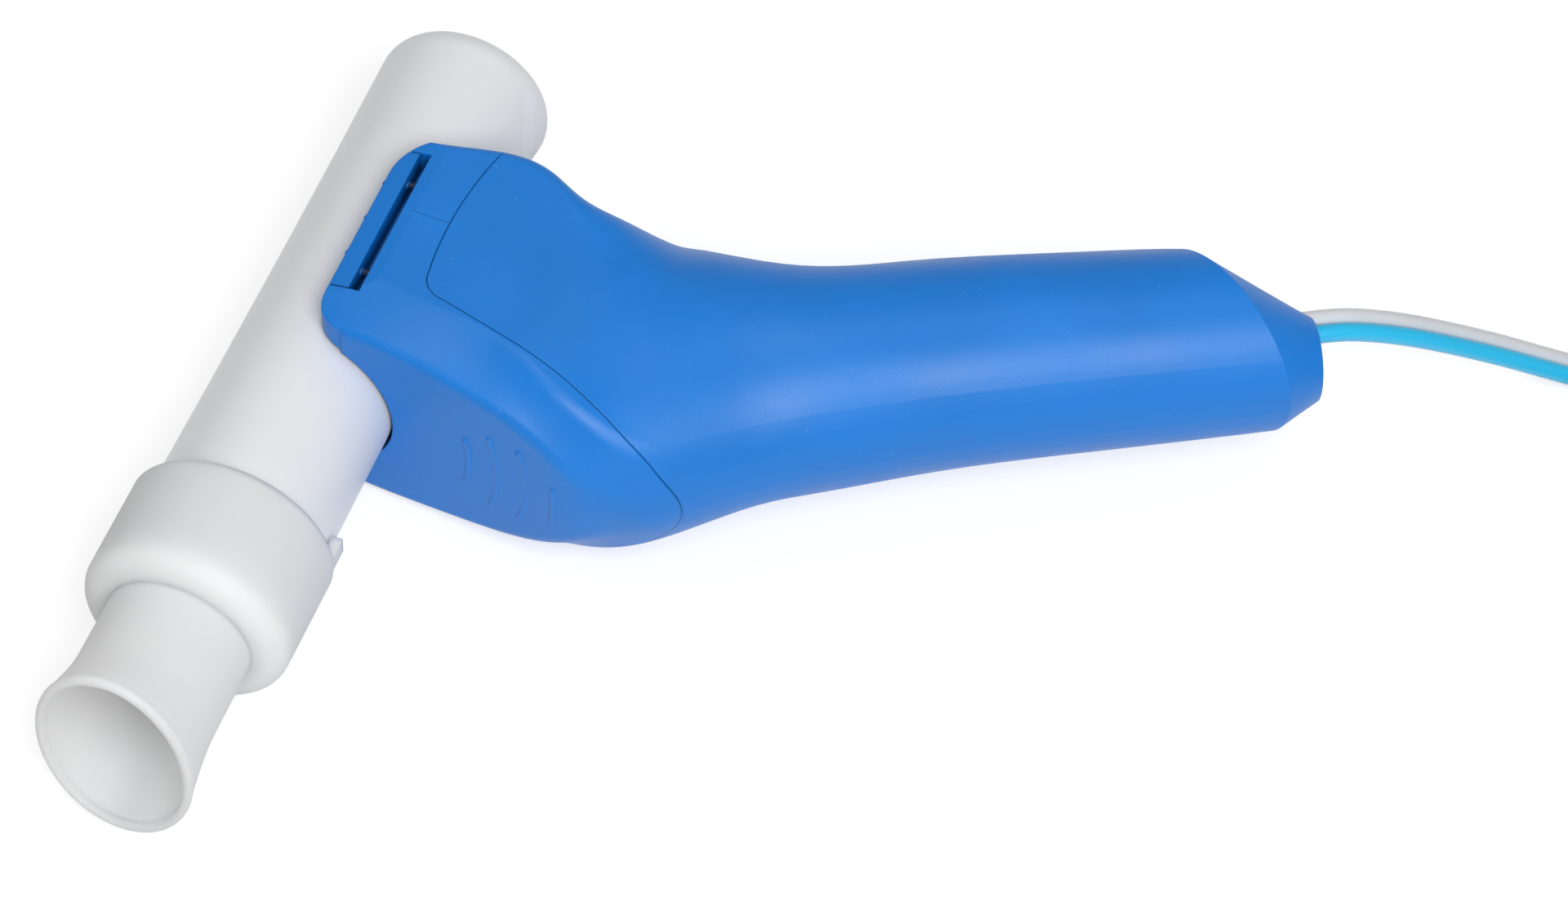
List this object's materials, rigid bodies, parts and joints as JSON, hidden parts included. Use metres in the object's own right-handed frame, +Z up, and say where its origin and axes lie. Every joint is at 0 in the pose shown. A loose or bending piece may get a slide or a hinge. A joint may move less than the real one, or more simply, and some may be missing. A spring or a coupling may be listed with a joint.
{
  "type": "spirometer",
  "caption": "Handheld spirometer: white flow tube with oval mouthpiece in the saddle of a blue pistol handle, with thin pressure hoses leaving the tail in a coil.",
  "frame": {"origin": "middle of the footprint on the table, hoses left out; the part lies on its side", "axes": "+Z up, +Y along the flow tube from the mouthpiece to the outlet, +X from the tube towards the handle's tail"},
  "size_m": [0.3138, 0.2128, 0.047],
  "materials": {
    "tube_white": "satin moulded",
    "screen_white": "satin moulded",
    "mouthpiece_white": "satin moulded, slightly translucent",
    "handle_blue": "fine matte moulded texture",
    "spring_steel": "bright drawn strip",
    "block_grey": "moulded",
    "seal_black": "smooth",
    "screw_steel": "zinc plated",
    "hose_cyan": "satin silicone",
    "hose_grey": "satin silicone",
    "gland_blue": "smooth",
    "connector_clear": "satin moulded"
  },
  "bodies": {
    "handle": {"head_cap": "handle_blue", "handle_shell": "handle_blue", "port_block": "block_grey", "port_seal_inlet": "seal_black", "port_seal_outlet": "seal_black", "cap_screws": "screw_steel", "block_screws": "screw_steel", "inner_hose_cyan": "hose_cyan", "inner_hose_grey": "hose_grey", "tail_gland": "gland_blue", "button_springs_upper": "spring_steel", "button_springs_lower": "spring_steel", "cyan_hose": "hose_cyan", "grey_hose": "hose_grey", "hose_coil": "hose_grey", "cyan_connector": "connector_clear", "grey_connector": "connector_clear"},
    "transducer": {"flow_tube": "tube_white", "flow_screen": "screen_white", "screen_ring_inlet": "tube_white", "screen_ring_outlet": "tube_white"},
    "mouthpiece": {"mouthpiece": "mouthpiece_white"},
    "upper_button": {"release_button_upper": "handle_blue"},
    "lower_button": {"release_button_lower": "handle_blue"}
  },
  "joints": [
    {"name": "transducer_lift", "type": "slide", "parent": "handle", "child": "transducer", "axis": [-1, 0, 0], "range_m": [0, 0.045]},
    {"name": "mouthpiece_pull", "type": "slide", "parent": "transducer", "child": "mouthpiece", "axis": [0, -1, 0], "range_m": [0, 0.022]},
    {"name": "upper_button_press", "type": "slide", "parent": "handle", "child": "upper_button", "axis": [1, 0, 0], "range_m": [0, 0.0019], "stiffness_N_per_m": 800, "deforming": ["button_springs_upper"]},
    {"name": "lower_button_press", "type": "slide", "parent": "handle", "child": "lower_button", "axis": [1, 0, 0], "range_m": [0, 0.0019], "stiffness_N_per_m": 800, "deforming": ["button_springs_lower"]}
  ]
}
